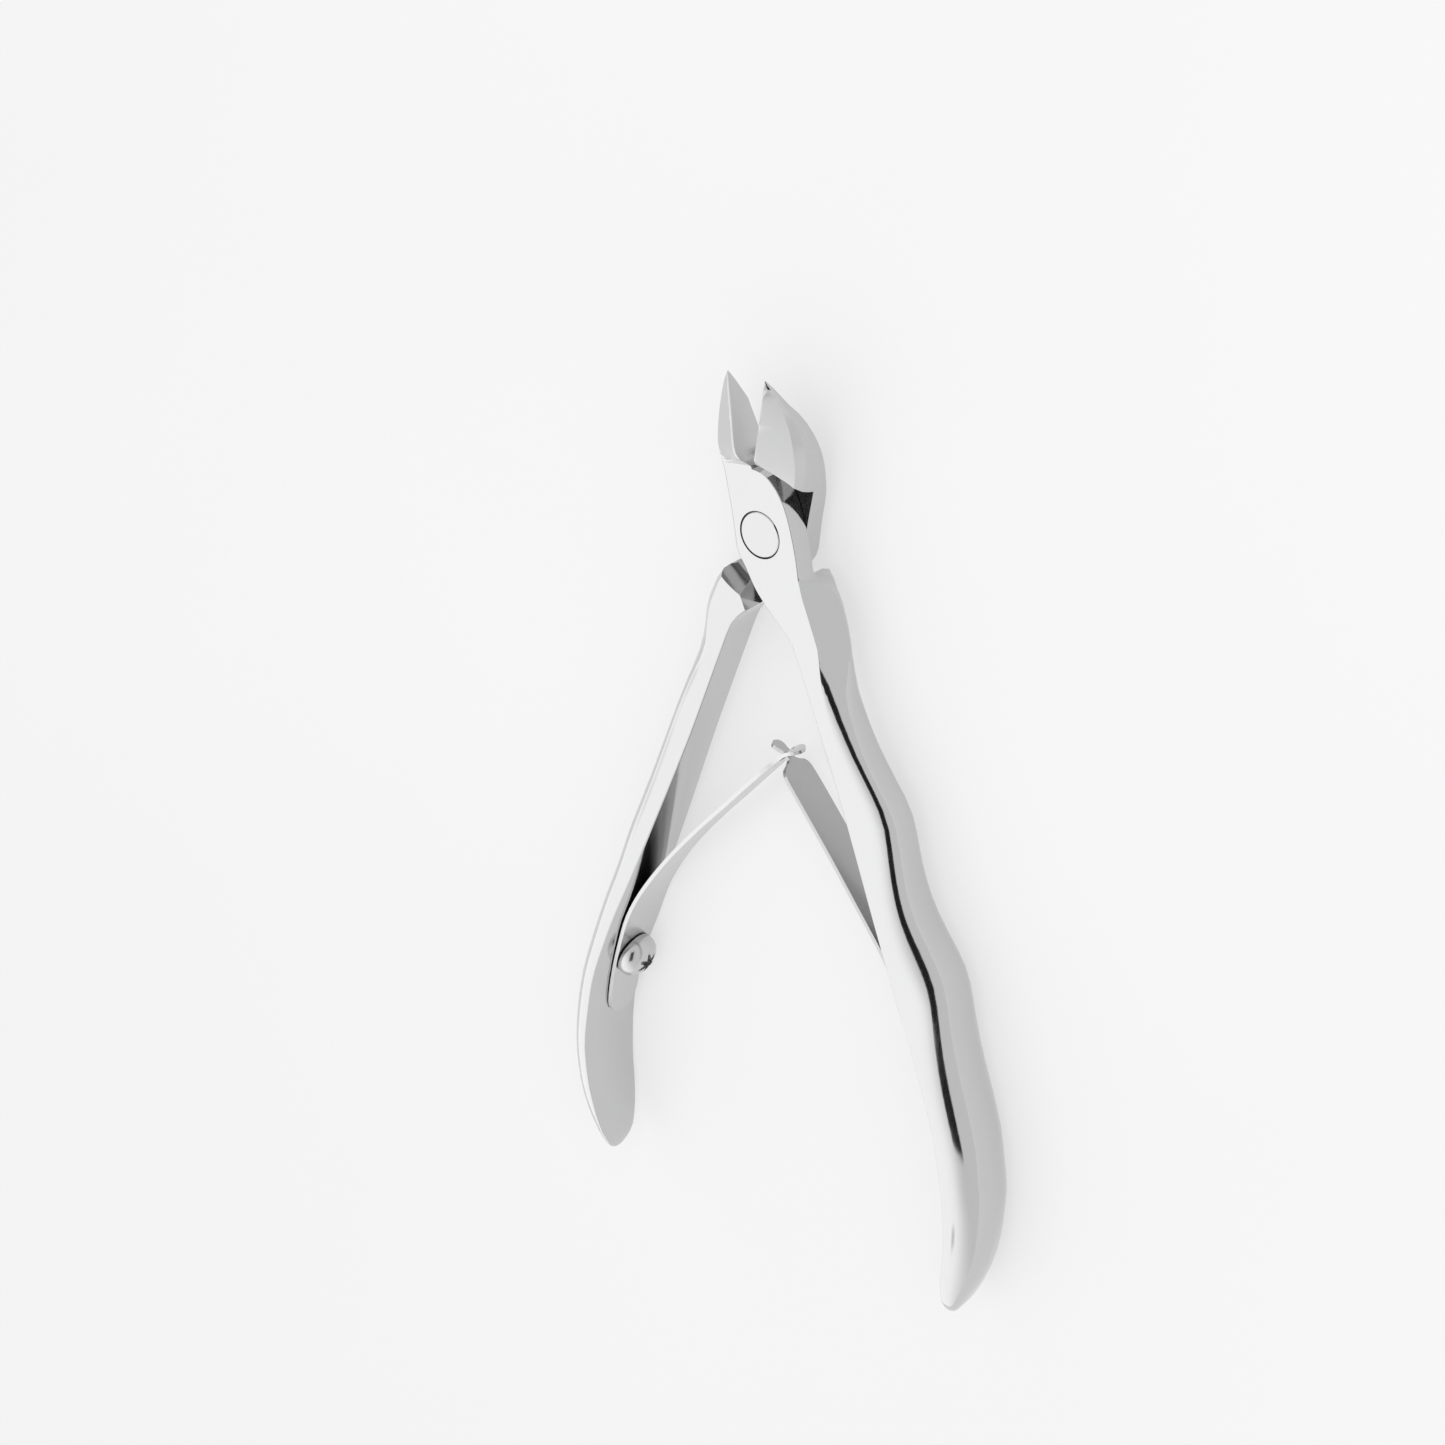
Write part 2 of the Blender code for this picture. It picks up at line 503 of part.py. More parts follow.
def leaf_rings(line, widths):
    """Rings of a flat strip that follows line in XY; widths is (distance, width across Z)."""
    pts = [Vector((x, y, 0)) for x, y in resample(line)]
    run = [0.0]
    for a, b in zip(pts, pts[1:]):
        run.append(run[-1] + (b - a).length)
    total = run[-1]
    width = curve_through([(s if s >= 0 else total + s, w) for s, w in widths])
    middle = curve_through(LEAF_MID)
    rings = []
    for i, p in enumerate(pts):
        a = pts[max(i - 1, 0)]
        b = pts[min(i + 1, len(pts) - 1)]
        along = (b - a).normalized()
        out = Vector((along.y, -along.x, 0)) * (0.5 * LEAF_T)
        half = 0.5 * width(run[i])
        soft = min(LEAF_EDGE, 0.3 * half)
        ring = []
        for so, sz in ((1, 1), (1, -1), (-1, -1), (-1, 1)):
            edge = half - soft if so > 0 else half
            ring.append(p + out * so + Vector((0, 0, middle(run[i]) + sz * edge)))
        rings.append([q * MM for q in ring])
    return rings


def resample(line):
    """Finer points along a polyline by a cubic over its chord length, closer at both ends."""
    run = [0.0]
    for a, b in zip(line, line[1:]):
        run.append(run[-1] + math.dist(a, b))
    fx = spline(run, [p[0] for p in line])
    fy = spline(run, [p[1] for p in line])
    total = run[-1]
    middle = []
    s = PITCH_FROM
    while s < total - PITCH_TO:
        middle.append(s)
        s += LEAF_PITCH
    where = ROOT_RINGS + middle + [total - e for e in TIP_RINGS]
    return [(fx(s), fy(s)) for s in where]


def spline(xs, ys):
    """Natural cubic spline."""
    n = len(xs)
    x = np.array(xs)
    y = np.array(ys)
    h = np.diff(x)
    a = np.eye(n)
    b = np.zeros(n)
    for i in range(1, n - 1):
        a[i, i - 1] = h[i - 1]
        a[i, i] = 2 * (h[i - 1] + h[i])
        a[i, i + 1] = h[i]
        b[i] = 6 * ((y[i + 1] - y[i]) / h[i] - (y[i] - y[i - 1]) / h[i - 1])
    m = np.linalg.solve(a, b)

    def value(s):
        s = min(max(s, x[0]), x[-1])
        i = int(min(max(np.searchsorted(x, s) - 1, 0), n - 2))
        p = (x[i + 1] - s) / h[i]
        q = (s - x[i]) / h[i]
        bend = (p ** 3 - p) * m[i] + (q ** 3 - q) * m[i + 1]
        return float(p * y[i] + q * y[i + 1] + bend * h[i] ** 2 / 6)

    return value


def leaf(name, line, widths, material):
    return mesh_object(name, loft(leaf_rings(line, widths)), material)


def leaf_line(side):
    """Centre line of a leaf on the open tool, from its seated end to its tip."""
    inner = curve_through(JAW_SIDE)
    crown = curve_through(CROWN)
    stand = 0.5 * LEAF_T + SEAT_GAP
    shut = [(side * (-inner(y) - crown(y) - stand), y) for y in SEAT_YS]
    turn = Matrix.Rotation(side * HALF_OPEN, 2)
    seated = [tuple(turn @ Vector(p)) for p in shut]
    return seated + (ARM_RIGHT if side > 0 else ARM_LEFT)


def screw_foot(side):
    """Screw foot on the leaf centre line, and the unit vector that points off the handle."""
    seated = leaf_line(side)[:len(SEAT_YS)]
    fx = spline([p[1] for p in seated], [p[0] for p in seated])
    x = fx(SCREW_Y)
    slope = fx(SCREW_Y + 0.5) - fx(SCREW_Y - 0.5)
    along = Vector((slope, 1.0, 0)).normalized()
    off = Vector((-along.y, along.x, 0)) * side
    return Vector((x, SCREW_Y, SCREW_Z)), off


def axis_frame(side):
    """Matrix that puts +Z on the screw axis, from the leaf centre line off the handle."""
    foot, off = screw_foot(side)
    z = off.normalized()
    y = Vector((0, 0, 1))
    x = y.cross(z)
    rot = Matrix((x, y, z)).transposed().to_4x4()
    return Matrix.Translation(foot * MM) @ rot


def screw(name, side, material):
    head = 0.5 * LEAF_T + SCREW_LIFT
    tip = -0.5 * LEAF_T - SCREW_DEPTH
    dome = []
    for i in range(DOME_STEPS + 1):
        a = 0.5 * math.pi * i / DOME_STEPS
        rise = (SCREW_HEAD_H - SCREW_RIM_H) * math.cos(a)
        dome.append((SCREW_HEAD_R * math.sin(a), head + SCREW_RIM_H + rise))
    profile = dome + [(SCREW_HEAD_R, head + SCREW_EDGE), (SCREW_HEAD_R - SCREW_EDGE, head),
                      (SCREW_R, head), (SCREW_R, tip + SCREW_POINT),
                      (SCREW_R - SCREW_POINT, tip), (0, tip)]
    bm = revolve(profile)
    bm.transform(axis_frame(side))
    obj = mesh_object(name, bm, material)
    cut(obj, lobe_recess(name + "_recess", side, head + SCREW_HEAD_H))
    return obj


def lobe_recess(name, side, top):
    """Lobed driver recess in a screw's domed head."""
    bm = bmesh.new()
    steps = RECESS_STEPS
    rows = []
    for z in (top - RECESS_DEPTH, top + RECESS_ABOVE):
        row = []
        for i in range(steps):
            a = 2 * math.pi * i / steps
            r = RECESS_R - RECESS_LOBE + RECESS_LOBE * math.cos(RECESS_LOBES * a)
            row.append(bm.verts.new((r * MM * math.cos(a), r * MM * math.sin(a), z * MM)))
        rows.append(row)
    for i in range(steps):
        j = (i + 1) % steps
        bm.faces.new((rows[0][i], rows[0][j], rows[1][j], rows[1][i]))
    bm.faces.new(list(reversed(rows[0])))
    bm.faces.new(rows[1])
    bm.transform(axis_frame(side))
    return as_cutter(mesh_object(name, bm))


def round_cutter(name, side, radius, z0, z1):
    bm = revolve([(0, z0), (radius, z0), (radius, z1), (0, z1)], HOLE_STEPS)
    bm.transform(axis_frame(side))
    return as_cutter(mesh_object(name, bm))


def slot_cutter(line):
    """Round-ended slot near the tip of the left leaf, cut across its thickness."""
    pts = resample(line)
    run = [0.0]
    for a, b in zip(pts, pts[1:]):
        run.append(run[-1] + math.dist(a, b))
    total = run[-1]
    fx = spline(run, [p[0] for p in pts])
    fy = spline(run, [p[1] for p in pts])
    at = total - SLOT_AT
    centre = Vector((fx(at), fy(at), TIP_Z))
    along = Vector((fx(at + 0.5) - fx(at - 0.5), fy(at + 0.5) - fy(at - 0.5), 0)).normalized()
    across = Vector((along.y, -along.x, 0))
    half_l = 0.5 * SLOT_L
    half_w = 0.5 * SLOT_W
    outline = []
    for i in range(SLOT_STEPS):
        a = 2 * math.pi * i / SLOT_STEPS
        u = half_l * math.copysign(abs(math.cos(a)) ** SLOT_POWER, math.cos(a))
        v = half_w * math.copysign(abs(math.sin(a)) ** SLOT_POWER, math.sin(a))
        outline.append((u, v))
    bm = bmesh.new()
    rows = []
    for w in (-SLOT_CUT, SLOT_CUT):
        rows.append([bm.verts.new((centre + along * u + across * w + Vector((0, 0, v))) * MM)
                     for u, v in outline])
    n = len(outline)
    for i in range(n):
        j = (i + 1) % n
        bm.faces.new((rows[0][i], rows[0][j], rows[1][j], rows[1][i]))
    bm.faces.new(list(reversed(rows[0])))
    bm.faces.new(rows[1])
    return as_cutter(mesh_object("leaf_slot", bm))


def lift_to_back_face():
    for obj in bpy.data.objects:
        obj.data.transform(Matrix.Translation((0, 0, -BACK_Z * MM)))


def hang_on(obj, x, y):
    """Put the object's origin on its own bending axis."""
    root = Vector((x, y, 0)) * MM
    obj.data.transform(Matrix.Translation(-root))
    obj.location = root


def build():
    clear_scene()
    polished = steel("polished_steel_front", (0.78, 0.78, 0.79), 0.18)
    polished_back = steel("polished_steel_back", (0.76, 0.76, 0.77), 0.2)
    rivet_steel = steel("rivet_steel", (0.74, 0.74, 0.75), 0.25)
    spring_steel = steel("spring_steel_right", (0.62, 0.62, 0.63), 0.3)
    spring_steel_left = steel("spring_steel_left", (0.64, 0.64, 0.65), 0.3)
    screw_steel = steel("screw_steel_right", (0.7, 0.7, 0.7), 0.35)
    screw_steel_left = steel("screw_steel_left", (0.7, 0.7, 0.7), 0.36)

    front_curves = half_curves(WAVY_SIDE, TOP_FRONT, FALL_FRONT, OUTER_TOP_FRONT, GRIP_WAVED)
    back_curves = half_curves(PLAIN_SIDE, TOP_BACK, FALL_BACK, OUTER_TOP_BACK, GRIP_PLAIN)
    front = forging("front_half", 1, front_curves, polished)
    back = forging("back_half", -1, back_curves, polished_back)
    front_bore, back_bore = pivot_holes()
    cut(front, prism("front_lap", lap_outline_front(), -CUT_FAR, LAP_GAP, 1))
    cut(front, front_bore)
    cut(front, round_cutter("front_screw_hole", 1, SCREW_HOLE_R, -HOLE_DEPTH, HOLE_ABOVE))
    cut(back, prism("back_lap", lap_outline_back(), -LAP_GAP, CUT_FAR, -1))
    cut(back, heel_recess())
    cut(back, back_bore)
    cut(back, round_cutter("back_screw_hole", -1, SCREW_HOLE_R, -HOLE_DEPTH, HOLE_ABOVE))
    rivet(rivet_steel)

    right = leaf("spring_right", leaf_line(1), TONGUE, spring_steel)
    left = leaf("spring_left", leaf_line(-1), EYE, spring_steel_left)
    cut(right, round_cutter("right_leaf_hole", 1, LEAF_HOLE_R, -LEAF_CUT, LEAF_CUT))
    cut(left, round_cutter("left_leaf_hole", -1, LEAF_HOLE_R, -LEAF_CUT, LEAF_CUT))
    cut(left, slot_cutter(leaf_line(-1)))
    screw("screw_right", 1, screw_steel)
    screw("screw_left", -1, screw_steel_left)
    lift_to_back_face()
    hang_on(right, FLEX_ROOT[0], FLEX_ROOT[1])
    hang_on(left, -FLEX_ROOT[0], FLEX_ROOT[1])


build()
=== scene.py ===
"""Looks for the cuticle nipper: polished steel halves, satin leaf springs, pale studio floor."""
import math

import bmesh
import bpy
from mathutils import Matrix, Vector


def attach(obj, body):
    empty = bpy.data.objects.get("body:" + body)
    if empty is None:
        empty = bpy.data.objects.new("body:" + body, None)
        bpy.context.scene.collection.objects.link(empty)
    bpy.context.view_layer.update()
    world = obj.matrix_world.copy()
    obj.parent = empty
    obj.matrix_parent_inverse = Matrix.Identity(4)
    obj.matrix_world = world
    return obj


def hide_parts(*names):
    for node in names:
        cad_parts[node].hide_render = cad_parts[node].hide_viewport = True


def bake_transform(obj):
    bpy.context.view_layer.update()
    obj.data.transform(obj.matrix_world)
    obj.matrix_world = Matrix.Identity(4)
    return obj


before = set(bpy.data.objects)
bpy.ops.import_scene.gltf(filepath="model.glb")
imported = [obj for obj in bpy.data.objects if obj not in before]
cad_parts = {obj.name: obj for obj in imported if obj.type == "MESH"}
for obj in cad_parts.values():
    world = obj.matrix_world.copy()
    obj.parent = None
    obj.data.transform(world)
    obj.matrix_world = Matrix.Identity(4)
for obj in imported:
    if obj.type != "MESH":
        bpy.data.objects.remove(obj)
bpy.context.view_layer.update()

MM = 0.001
X_AXIS = (1, 0, 0)
Y_AXIS = (0, 1, 0)
Z_AXIS = (0, 0, 1)
LAP_PLANE_Z = 3.3 * MM

# Camera that looks at the tool from its jaw end, above the waved handle's side
CAM_TURN = math.radians(40.25)
CAM_RISE = math.radians(27.24)
CAM_ROLL = math.radians(-0.99)
CAM_FAR = 370.5 * MM
CAM_SIDE = 6.49 * MM
CAM_UP = 24.09 * MM
CAM_NEAR_CLIP = 10.0 * MM
LENS_MM = 74.74
SENSOR_MM = 36.0

# Edges that turn more than this are crisp; the rounded handles need a sharper turn for it
SHARP_DEG = 22
HANDLE_SHARP_DEG = 62
HANDLE_FROM_Y = -20.0 * MM
WELD = 0.001 * MM
BEVEL_DEG = 50
EDGE_ROUND = 0.05 * MM
EDGE_SEGMENTS = 2
EVEN_WEIGHT = 60

# Steel is patterned by polishing lines and by clouds, in these shares
LINE_DETAIL = 4.0
LINE_SHARE = 0.55
CLOUD_SCALE = 160.0
CLOUD_DETAIL = 3.0
CLOUD_SHARE = 0.45
WORN_TONE = 0.94
BLUE_CAST = 0.005
RELIEF_DEPTH = 0.05 * MM
# Fineness of the polishing lines along x, y and z
HALF_LAY = (2600, 260, 2600)
TURNED_LAY = (900, 900, 900)
LEAF_LAY = (1500, 1500, 200)

# Ring round the rivet head as (radius, height) corners, in millimetres
GROOVE_PROFILE = [(2.975, 5.2), (3.125, 5.2), (3.125, 6.12), (2.975, 6.12)]
GROOVE_STEPS = 96
GROOVE_TONES = (0.02, 0.06)
GROOVE_GRAIN = 3000.0
GROOVE_ROUGH = 0.8

# Floor that glows softly, as a lit table does, so that the tool's shadow stays faint
FLOOR_Z = -2.0 * MM
FLOOR_HALF = 3.0
FLOOR_TONES = (0.24, 0.26)
FLOOR_GRAIN = 60.0
FLOOR_ROUGH = 0.9
FLOOR_GLOW = 0.57

# Studio tent: bright dome, dimmer away from BRIGHT_SIDE. A limit of BEYOND leaves a band open
BEYOND = 2.0
DOME_BRIGHT = 1.46
DOME_DIM = 0.85
BRIGHT_SIDE = (-0.75, -0.5, 0.43)
BRIGHT_FROM = 0.9
BRIGHT_SOFT = 1.0
# Dark strip overhead, which the rounded edge of the waved handle mirrors as a thin line
STRIP_NORMAL = (-0.8, 0.0, 0.6)
STRIP_WIDTH = (-0.18, 0.2)
STRIP_SOFT = 0.04
STRIP_Y = (-0.31, 0.5)
STRIP_Y_SOFT = 0.05
STRIP_FROM_Z = 0.2
STRIP_Z_SOFT = 0.1
STRIP_LEVEL = 0.02
# Dim patch in the sky beyond the handles' ends
PATCH_X = (-0.2, -0.1)
PATCH_Y = (-0.705, -0.695)
PATCH_SOFT = 0.035
PATCH_LEVEL = 0.8
# Dim corner low on the plain handle's side
CORNER_SIDE = (-0.93, 0.14, 0.33)
CORNER_FROM = 0.96
CORNER_SOFT = 0.08
CORNER_LEVEL = 0.4

KEY_PLACE = (0.45, 0.35, 0.7)
KEY_AIM = (0, -0.04, 0)
KEY_SIZE = 0.9
KEY_WATTS = 5


def link(tree, a, out, b, into):
    tree.links.new(a.outputs[out], b.inputs[into])


def grey(level, blue=0.0):
    return (level, level, level + blue, 1)


def node_material(name):
    mat = bpy.data.materials.new(name)
    mat.use_nodes = True
    tree = mat.node_tree
    return mat, tree, tree.nodes["Principled BSDF"]


def noise(tree, scale):
    node = tree.nodes.new("ShaderNodeTexNoise")
    node.inputs["Scale"].default_value = scale
    return node


def tone_mix(tree, driver, dark, light):
    """Colour between two tones, as the driving output says."""
    node = tree.nodes.new("ShaderNodeMix")
    node.data_type = "RGBA"
    node.inputs["A"].default_value = dark
    node.inputs["B"].default_value = light
    tree.links.new(driver, node.inputs["Factor"])
    return node


def ramp(tree, low, high, lo_pos=0.3, hi_pos=0.7):
    node = tree.nodes.new("ShaderNodeMapRange")
    node.inputs["From Min"].default_value = lo_pos
    node.inputs["From Max"].default_value = hi_pos
    node.inputs["To Min"].default_value = low
    node.inputs["To Max"].default_value = high
    return node


def steel(name, tone, rough, spread, lay, bump):
    """Steel with polishing lines drawn out along lay, patchy gloss and a faint bump."""
    mat, tree, bsdf = node_material(name)
    coord = tree.nodes.new("ShaderNodeTexCoord")
    stretch = tree.nodes.new("ShaderNodeMapping")
    stretch.inputs["Scale"].default_value = lay
    link(tree, coord, "Object", stretch, "Vector")
    lines = noise(tree, 1.0)
    lines.inputs["Detail"].default_value = LINE_DETAIL
    link(tree, stretch, "Vector", lines, "Vector")
    cloud = noise(tree, CLOUD_SCALE)
    cloud.inputs["Detail"].default_value = CLOUD_DETAIL
    link(tree, coord, "Object", cloud, "Vector")
    pattern = tree.nodes.new("ShaderNodeMath")
    pattern.operation = "MULTIPLY_ADD"
    pattern.inputs[1].default_value = LINE_SHARE
    link(tree, lines, "Fac", pattern, 0)
    patches = tree.nodes.new("ShaderNodeMath")
    patches.operation = "MULTIPLY"
    patches.inputs[1].default_value = CLOUD_SHARE
    link(tree, cloud, "Fac", patches, 0)
    link(tree, patches, 0, pattern, 2)
    gloss = ramp(tree, rough - spread, rough + spread)
    link(tree, pattern, 0, gloss, "Value")
    link(tree, gloss, "Result", bsdf, "Roughness")
    worn = grey(tone * WORN_TONE, tone * BLUE_CAST)
    clean = grey(tone, tone * BLUE_CAST)
    shade = tone_mix(tree, pattern.outputs[0], worn, clean)
    link(tree, shade, "Result", bsdf, "Base Color")
    relief = tree.nodes.new("ShaderNodeBump")
    relief.inputs["Strength"].default_value = bump
    relief.inputs["Distance"].default_value = RELIEF_DEPTH
    link(tree, lines, "Fac", relief, "Height")
    link(tree, relief, "Normal", bsdf, "Normal")
    bsdf.inputs["Metallic"].default_value = 1.0
    return mat


def dull(name, tones, grain, rough):
    """Grainy material without shine, between two greys."""
    mat, tree, bsdf = node_material(name)
    tone = tone_mix(tree, noise(tree, grain).outputs["Fac"], grey(tones[0]), grey(tones[1]))
    link(tree, tone, "Result", bsdf, "Base Color")
    bsdf.inputs["Roughness"].default_value = rough
    return mat, bsdf


def paint(obj, mat):
    obj.data.materials.clear()
    obj.data.materials.append(mat)


def show(name, bm, mat):
    """New object from bm, with one material."""
    mesh = bpy.data.meshes.new(name)
    bm.to_mesh(mesh)
    bm.free()
    obj = bpy.data.objects.new(name, mesh)
    bpy.context.scene.collection.objects.link(obj)
    mesh.materials.append(mat)
    return obj


def sharpness_limit(tree):
    """Angle above which an edge is crisp: small at the jaws and joint, large along the handles."""
    place = tree.nodes.new("GeometryNodeInputPosition")
    axes = tree.nodes.new("ShaderNodeSeparateXYZ")
    link(tree, place, "Position", axes, "Vector")
    forward = tree.nodes.new("FunctionNodeCompare")
    forward.operation = "GREATER_THAN"
    forward.inputs["B"].default_value = HANDLE_FROM_Y
    link(tree, axes, "Y", forward, "A")
    limit = tree.nodes.new("GeometryNodeSwitch")
    limit.input_type = "FLOAT"
    limit.inputs["False"].default_value = math.radians(HANDLE_SHARP_DEG)
    limit.inputs["True"].default_value = math.radians(SHARP_DEG)
    link(tree, forward, "Result", limit, "Switch")
    return limit


def crease_group():
    """Geometry nodes that join the facets and keep an edge crisp where it turns enough."""
    tree = bpy.data.node_groups.new("crease", "GeometryNodeTree")
    tree.interface.new_socket("Geometry", in_out="INPUT", socket_type="NodeSocketGeometry")
    tree.interface.new_socket("Geometry", in_out="OUTPUT", socket_type="NodeSocketGeometry")
    source = tree.nodes.new("NodeGroupInput")
    weld = tree.nodes.new("GeometryNodeMergeByDistance")
    weld.inputs["Distance"].default_value = WELD
    link(tree, source, "Geometry", weld, "Geometry")
    turn = tree.nodes.new("GeometryNodeInputMeshEdgeAngle")
    gentle = tree.nodes.new("FunctionNodeCompare")
    gentle.operation = "LESS_THAN"
    link(tree, turn, "Unsigned Angle", gentle, "A")
    link(tree, sharpness_limit(tree), "Output", gentle, "B")
    faces = tree.nodes.new("GeometryNodeSetShadeSmooth")
    faces.domain = "FACE"
    link(tree, weld, "Geometry", faces, "Geometry")
    edges = tree.nodes.new("GeometryNodeSetShadeSmooth")
    edges.domain = "EDGE"
    link(tree, faces, "Geometry", edges, "Geometry")
    link(tree, gentle, "Result", edges, "Shade Smooth")
    result = tree.nodes.new("NodeGroupOutput")
    link(tree, edges, "Geometry", result, "Geometry")
    return tree


def soften(obj, crease):
    """Round the crisp edges by a hair so that they catch the light, and even out the shading."""
    joined = obj.modifiers.new("crease", "NODES")
    joined.node_group = crease
    edges = obj.modifiers.new("soft_edges", "BEVEL")
    edges.width = EDGE_ROUND
    edges.segments = EDGE_SEGMENTS
    edges.limit_method = "ANGLE"
    edges.angle_limit = math.radians(BEVEL_DEG)
    even = obj.modifiers.new("even_shading", "WEIGHTED_NORMAL")
    even.mode = "FACE_AREA_WITH_ANGLE"
    even.weight = EVEN_WEIGHT
    even.keep_sharp = True


def dress_nodes():
    looks = {
        "front_half": steel("front_steel", 0.6, 0.11, 0.03, HALF_LAY, 0.04),
        "back_half": steel("back_steel", 0.59, 0.11, 0.03, HALF_LAY, 0.04),
        "pivot_rivet": steel("rivet_face_steel", 0.59, 0.14, 0.03, TURNED_LAY, 0.04),
        "screw_right": steel("right_screw_steel", 0.6, 0.2, 0.03, TURNED_LAY, 0.03),
        "screw_left": steel("left_screw_steel", 0.6, 0.2, 0.03, TURNED_LAY, 0.03),
    }
    crease = crease_group()
    for node, mat in looks.items():
        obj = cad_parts[node]
        paint(obj, mat)
        obj.data.shade_smooth()
        soften(obj, crease)


def add_leaf(name, node, mat):
    """Leaf spring drawn from a copy of its part's mesh, which takes the part's place."""
    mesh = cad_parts[node].data.copy()
    obj = bpy.data.objects.new(name, mesh)
    bpy.context.scene.collection.objects.link(obj)
    paint(obj, mat)
    mesh.shade_smooth()
    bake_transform(obj)
    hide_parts(node)


def add_leaves():
    # One satin steel for both springs: the right leaf's base is darkened as painted shade, the
    # left leaf's is lightened as painted light
    right = steel("right_leaf_steel_painted_shade", 0.5, 0.26, 0.02, LEAF_LAY, 0.015)
    left = steel("left_leaf_steel_painted_light", 0.62, 0.24, 0.02, LEAF_LAY, 0.015)
    add_leaf("leaf_right_visual", "spring_right", right)
    add_leaf("leaf_left_visual", "spring_left", left)


def add_groove():
    """Near-black band in the ring round the rivet head."""
    mat = dull("groove_dark_band", GROOVE_TONES, GROOVE_GRAIN, GROOVE_ROUGH)[0]
    bm = bmesh.new()
    rows = []
    for r, z in GROOVE_PROFILE:
        row = []
        for i in range(GROOVE_STEPS):
            a = 2 * math.pi * i / GROOVE_STEPS
            row.append(bm.verts.new((r * math.cos(a) * MM, r * math.sin(a) * MM, z * MM)))
        rows.append(row)
    for a, b in zip(rows, rows[1:] + rows[:1]):
        for i in range(GROOVE_STEPS):
            j = (i + 1) % GROOVE_STEPS
            bm.faces.new((a[i], a[j], b[j], b[i]))
    bmesh.ops.recalc_face_normals(bm, faces=bm.faces)
    obj = show("rivet_groove_dark_band", bm, mat)
    obj.data.shade_smooth()
    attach(obj, "front")


def add_floor():
    mat, bsdf = dull("pale_floor", FLOOR_TONES, FLOOR_GRAIN, FLOOR_ROUGH)
    bsdf.inputs["Emission Color"].default_value = grey(1)
    bsdf.inputs["Emission Strength"].default_value = FLOOR_GLOW
    bm = bmesh.new()
    corners = [(-1, -1), (1, -1), (1, 1), (-1, 1)]
    bm.faces.new([bm.verts.new((x * FLOOR_HALF, y * FLOOR_HALF, FLOOR_Z)) for x, y in corners])
    show("floor", bm, mat)


def sky_band(tree, coord, axis, low, high, soft):
    """1 where the direction's dot with axis is between low and high, with soft edges."""
    dot = tree.nodes.new("ShaderNodeVectorMath")
    dot.operation = "DOT_PRODUCT"
    dot.inputs[1].default_value = Vector(axis).normalized()
    link(tree, coord, "Generated", dot, 0)
    centre = tree.nodes.new("ShaderNodeMath")
    centre.operation = "SUBTRACT"
    centre.inputs[1].default_value = 0.5 * (low + high)
    link(tree, dot, "Value", centre, 0)
    away = tree.nodes.new("ShaderNodeMath")
    away.operation = "ABSOLUTE"
    link(tree, centre, 0, away, 0)
    half = 0.5 * (high - low)
    edge = ramp(tree, 1.0, 0.0, half, half + soft)
    edge.interpolation_type = "SMOOTHSTEP"
    link(tree, away, 0, edge, "Value")
    return edge.outputs["Result"]


def multiply(tree, a, b):
    node = tree.nodes.new("ShaderNodeMath")
    node.operation = "MULTIPLY"
    tree.links.new(a, node.inputs[0])
    tree.links.new(b, node.inputs[1])
    return node.outputs[0]


def dim(tree, sky, mask, level):
    """Sky strength that falls to level where the mask is 1."""
    node = tree.nodes.new("ShaderNodeMix")
    node.inputs["B"].default_value = level
    tree.links.new(mask, node.inputs["Factor"])
    tree.links.new(sky, node.inputs["A"])
    return node.outputs["Result"]


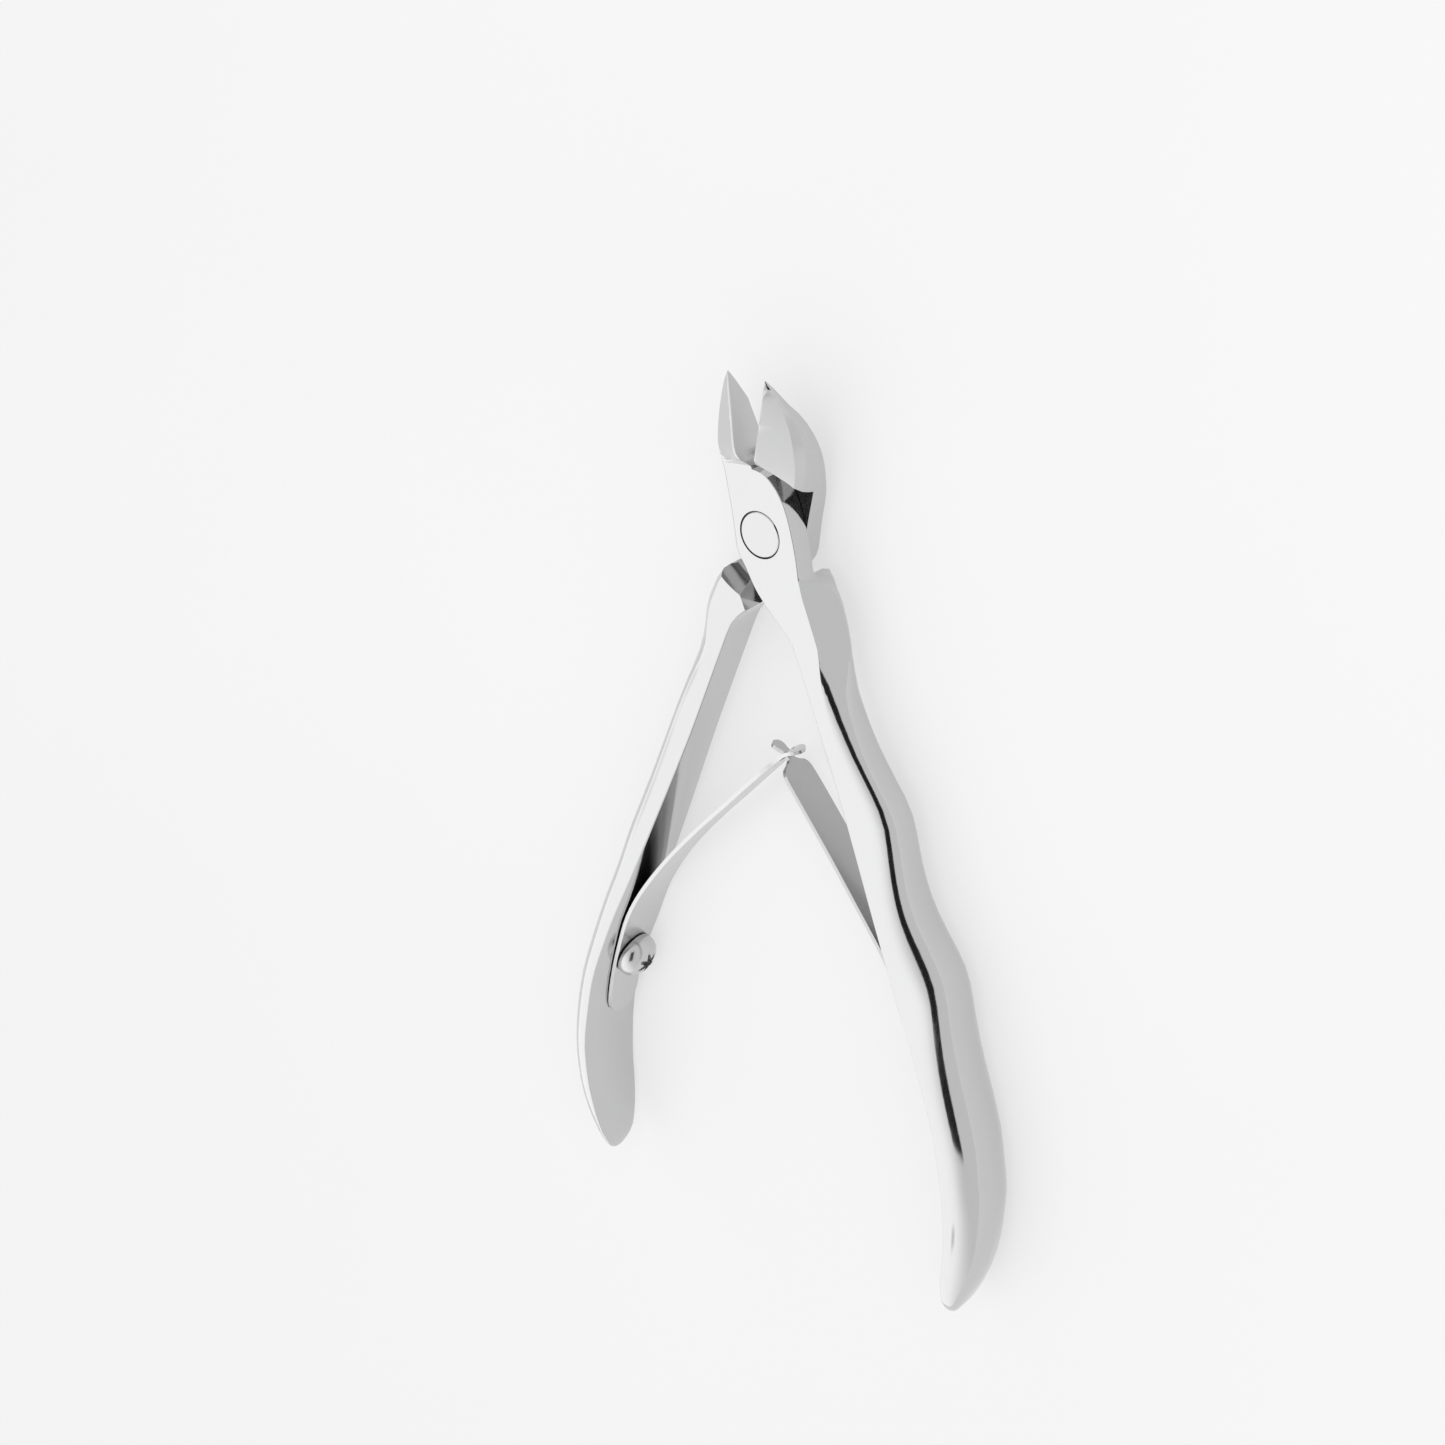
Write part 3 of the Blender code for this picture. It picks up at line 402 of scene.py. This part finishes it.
def add_sky():
    world = bpy.data.worlds.new("studio")
    bpy.context.scene.world = world
    world.use_nodes = True
    tree = world.node_tree
    coord = tree.nodes.new("ShaderNodeTexCoord")
    across = sky_band(tree, coord, STRIP_NORMAL, *STRIP_WIDTH, STRIP_SOFT)
    along = sky_band(tree, coord, Y_AXIS, *STRIP_Y, STRIP_Y_SOFT)
    upper = sky_band(tree, coord, Z_AXIS, STRIP_FROM_Z, BEYOND, STRIP_Z_SOFT)
    strip = multiply(tree, multiply(tree, across, along), upper)
    patch = multiply(tree, sky_band(tree, coord, X_AXIS, *PATCH_X, PATCH_SOFT),
                     sky_band(tree, coord, Y_AXIS, *PATCH_Y, PATCH_SOFT))
    corner = sky_band(tree, coord, CORNER_SIDE, CORNER_FROM, BEYOND, CORNER_SOFT)
    dome = ramp(tree, DOME_DIM, DOME_BRIGHT, 0.0, 1.0)
    bright = sky_band(tree, coord, BRIGHT_SIDE, BRIGHT_FROM, BEYOND, BRIGHT_SOFT)
    tree.links.new(bright, dome.inputs["Value"])
    strength = dome.outputs["Result"]
    for mask, level in ((strip, STRIP_LEVEL), (patch, PATCH_LEVEL), (corner, CORNER_LEVEL)):
        strength = dim(tree, strength, mask, level)
    sky = tree.nodes["Background"]
    sky.inputs["Color"].default_value = grey(1)
    tree.links.new(strength, sky.inputs["Strength"])


def add_key():
    """Soft square light, unseen in reflections, so that it leaves no glints."""
    data = bpy.data.lights.new("key", "AREA")
    data.shape = "SQUARE"
    data.size = KEY_SIZE
    data.energy = KEY_WATTS
    obj = bpy.data.objects.new("key", data)
    obj.location = KEY_PLACE
    obj.rotation_euler = (Vector(KEY_AIM) - Vector(KEY_PLACE)).to_track_quat("-Z", "Y").to_euler()
    obj.visible_glossy = False
    bpy.context.scene.collection.objects.link(obj)


def add_camera():
    right = Vector((math.cos(CAM_TURN), 0, -math.sin(CAM_TURN)))
    back = Vector((math.sin(CAM_TURN) * math.cos(CAM_RISE), math.sin(CAM_RISE),
                   math.cos(CAM_TURN) * math.cos(CAM_RISE)))
    up = back.cross(right)
    side = math.cos(CAM_ROLL) * right + math.sin(CAM_ROLL) * up
    top = math.cos(CAM_ROLL) * up - math.sin(CAM_ROLL) * right
    data = bpy.data.cameras.new("camera")
    data.lens = LENS_MM
    data.sensor_width = SENSOR_MM
    data.clip_start = CAM_NEAR_CLIP
    obj = bpy.data.objects.new("camera", data)
    place = CAM_FAR * back - CAM_SIDE * side - CAM_UP * top + Vector((0, 0, LAP_PLANE_Z))
    turn = Matrix((side, top, back)).transposed().to_4x4()
    obj.matrix_world = Matrix.Translation(place) @ turn
    bpy.context.scene.collection.objects.link(obj)
    bpy.context.scene.camera = obj


dress_nodes()
add_leaves()
add_groove()
add_floor()
add_sky()
add_key()
bpy.context.scene.view_settings.view_transform = "Standard"
add_camera()
